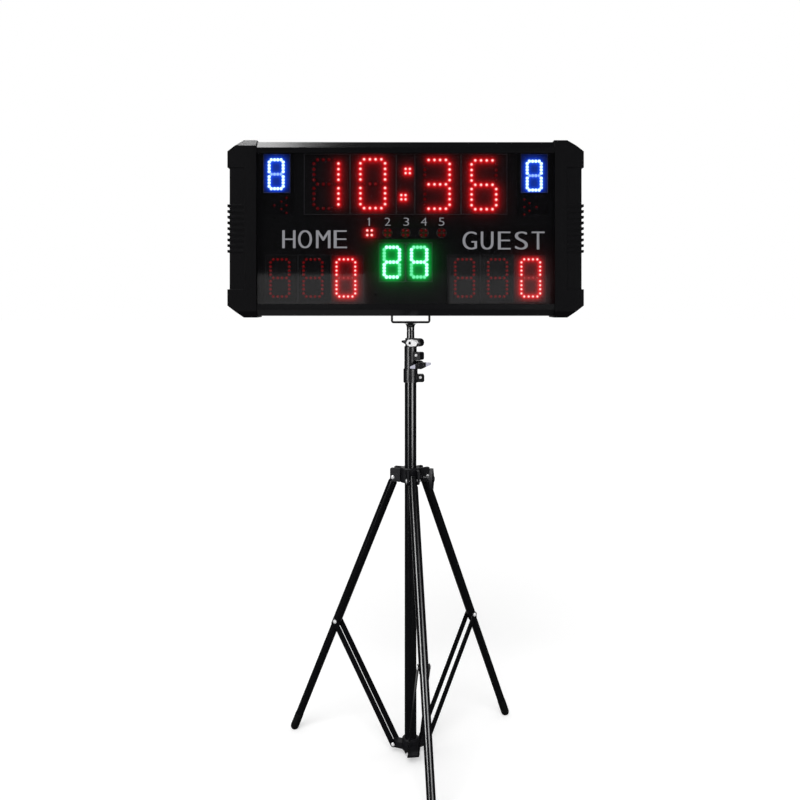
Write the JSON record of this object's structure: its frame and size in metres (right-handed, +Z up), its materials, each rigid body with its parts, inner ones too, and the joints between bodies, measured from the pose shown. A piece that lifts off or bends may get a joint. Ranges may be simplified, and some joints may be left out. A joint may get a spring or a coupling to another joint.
{
  "type": "electronic scoreboard",
  "caption": "Portable electronic sports scoreboard: a wide seven-segment display casing on a telescopic mast with a folding tripod stand.",
  "frame": {"origin": "centre of the flat underside of the mast's foot cap, on the mast axis, 3 mm above the floor", "axes": "+Z up along the mast, the display faces -Y, +X to the right as seen from the front"},
  "size_m": [0.826, 0.522, 1.4486],
  "materials": {
    "cap_abs": "fine textured black moulding",
    "rail_aluminium": "black anodised, satin",
    "dark_acrylic": "smoked clear acrylic, polished",
    "bare_sheet": "plain sheet",
    "circuit_green": "solder resist",
    "circuit_black": "black solder resist",
    "red_lights": "red light segments on a black circuit board",
    "green_lights": "green light segments on a black circuit board",
    "blue_lights": "blue light segments on a black circuit board",
    "black_paint": "gloss black powder coat",
    "black_nylon": "black moulding, satin",
    "bright_steel": "bright zinc plate",
    "black_rubber": "matt"
  },
  "bodies": {
    "column": {"main_tube": "black_paint", "lower_clamp": "black_nylon", "base_hub": "black_nylon", "foot_cap": "black_rubber", "front_hub_pin": "bright_steel", "right_hub_pin": "bright_steel", "left_hub_pin": "bright_steel"},
    "lower_screw": {"lower_wing_screw": "bright_steel"},
    "middle_mast": {"middle_tube": "black_paint", "upper_clamp": "black_nylon"},
    "upper_screw": {"upper_wing_screw": "bright_steel"},
    "top_mast": {"top_tube": "black_paint"},
    "head": {"mount_bracket": "black_paint", "left_bracket_bolt": "bright_steel", "right_bracket_bolt": "bright_steel", "left_end_cap": "cap_abs", "right_end_cap": "cap_abs", "top_rail": "rail_aluminium", "bottom_rail": "rail_aluminium", "front_panel": "dark_acrylic", "back_panel": "rail_aluminium", "module_tray": "bare_sheet", "controller_board": "circuit_green", "power_supply": "bare_sheet", "buzzer": "black_nylon", "power_inlet": "black_nylon", "timer_digit_1": "red_lights", "timer_digit_2": "red_lights", "timer_digit_3": "red_lights", "timer_digit_4": "red_lights", "timer_colon": "red_lights", "home_foul_module": "blue_lights", "guest_foul_module": "blue_lights", "period_module": "circuit_black", "shot_digit_1": "green_lights", "shot_digit_2": "green_lights", "home_score_digit_1": "red_lights", "home_score_digit_2": "red_lights", "home_score_digit_3": "red_lights", "guest_score_digit_1": "red_lights", "guest_score_digit_2": "red_lights", "guest_score_digit_3": "red_lights"},
    "rocker": {"power_rocker": "black_nylon"},
    "collar": {"leg_collar": "black_nylon", "front_collar_pin": "bright_steel", "right_collar_pin": "bright_steel", "left_collar_pin": "bright_steel"},
    "collar_screw": {"collar_wing_screw": "black_nylon"},
    "front_leg": {"front_leg": "black_paint", "front_foot": "black_rubber"},
    "right_leg": {"right_leg": "black_paint", "right_foot": "black_rubber"},
    "left_leg": {"left_leg": "black_paint", "left_foot": "black_rubber"},
    "front_strut": {"front_strut_bar_a": "black_paint", "front_strut_bar_b": "black_paint"},
    "right_strut": {"right_strut_bar_a": "black_paint", "right_strut_bar_b": "black_paint"},
    "left_strut": {"left_strut_bar_a": "black_paint", "left_strut_bar_b": "black_paint"}
  },
  "joints": [
    {"name": "middle_mast_slide", "type": "slide", "parent": "column", "child": "middle_mast", "axis": [0, 0, 1], "range_m": [0, 0.5]},
    {"name": "top_mast_slide", "type": "slide", "parent": "middle_mast", "child": "top_mast", "axis": [0, 0, 1], "range_m": [-0.014, 0.43]},
    {"name": "head_turn", "type": "hinge", "parent": "top_mast", "child": "head", "pos_m": [0, 0, 0.999], "axis": [0, 0, 1], "continuous": true},
    {"name": "lower_screw_turn", "type": "hinge", "parent": "column", "child": "lower_screw", "pos_m": [0.023, 0, 0.92], "axis": [0, -1, 0], "range_deg": [0, 360]},
    {"name": "upper_screw_turn", "type": "hinge", "parent": "middle_mast", "child": "upper_screw", "pos_m": [0.01884, -0.01319, 0.973], "axis": [-0.5736, -0.8192, 0], "range_deg": [0, 360]},
    {"name": "rocker_tip", "type": "hinge", "parent": "head", "child": "rocker", "pos_m": [0.248, 0.0395, 1.143], "axis": [-1, 0, 0], "range_deg": [0, 18]},
    {"name": "collar_slide", "type": "slide", "parent": "column", "child": "collar", "axis": [0, 0, 1], "range_m": [0, 0.0715]},
    {"name": "collar_screw_turn", "type": "hinge", "parent": "collar", "child": "collar_screw", "pos_m": [0, 0, 0.653], "axis": [0.9272, -0.3746, 0], "range_deg": [0, 360]},
    {"name": "front_leg_fold", "type": "hinge", "parent": "collar", "child": "front_leg", "pos_m": [0.00529, -0.03965, 0.653], "axis": [0.9912, 0.1323, 0], "range_deg": [0, 20.85]},
    {"name": "right_leg_fold", "type": "hinge", "parent": "collar", "child": "right_leg", "pos_m": [0.03169, 0.02441, 0.653], "axis": [-0.6101, 0.7923, 0], "range_deg": [0, 20.85]},
    {"name": "left_leg_fold", "type": "hinge", "parent": "collar", "child": "left_leg", "pos_m": [-0.03698, 0.01524, 0.653], "axis": [-0.3811, -0.9245, 0], "range_deg": [0, 20.85]},
    {"name": "front_strut_fold", "type": "hinge", "parent": "column", "child": "front_strut", "pos_m": [0.00529, -0.03965, 0.018], "axis": [-0.9912, -0.1323, 0], "range_deg": [0, 27.25]},
    {"name": "right_strut_fold", "type": "hinge", "parent": "column", "child": "right_strut", "pos_m": [0.03169, 0.02441, 0.018], "axis": [0.6101, -0.7923, 0], "range_deg": [0, 27.25]},
    {"name": "left_strut_fold", "type": "hinge", "parent": "column", "child": "left_strut", "pos_m": [-0.03698, 0.01524, 0.018], "axis": [0.3811, 0.9245, 0], "range_deg": [0, 27.25]}
  ],
  "couplings": [
    {"joint": "front_leg_fold", "follows": "collar_slide", "rad_per_m": 5.083},
    {"joint": "right_leg_fold", "follows": "collar_slide", "rad_per_m": 5.083},
    {"joint": "left_leg_fold", "follows": "collar_slide", "rad_per_m": 5.083},
    {"joint": "front_strut_fold", "follows": "collar_slide", "rad_per_m": 6.6475},
    {"joint": "right_strut_fold", "follows": "collar_slide", "rad_per_m": 6.6475},
    {"joint": "left_strut_fold", "follows": "collar_slide", "rad_per_m": 6.6475}
  ]
}
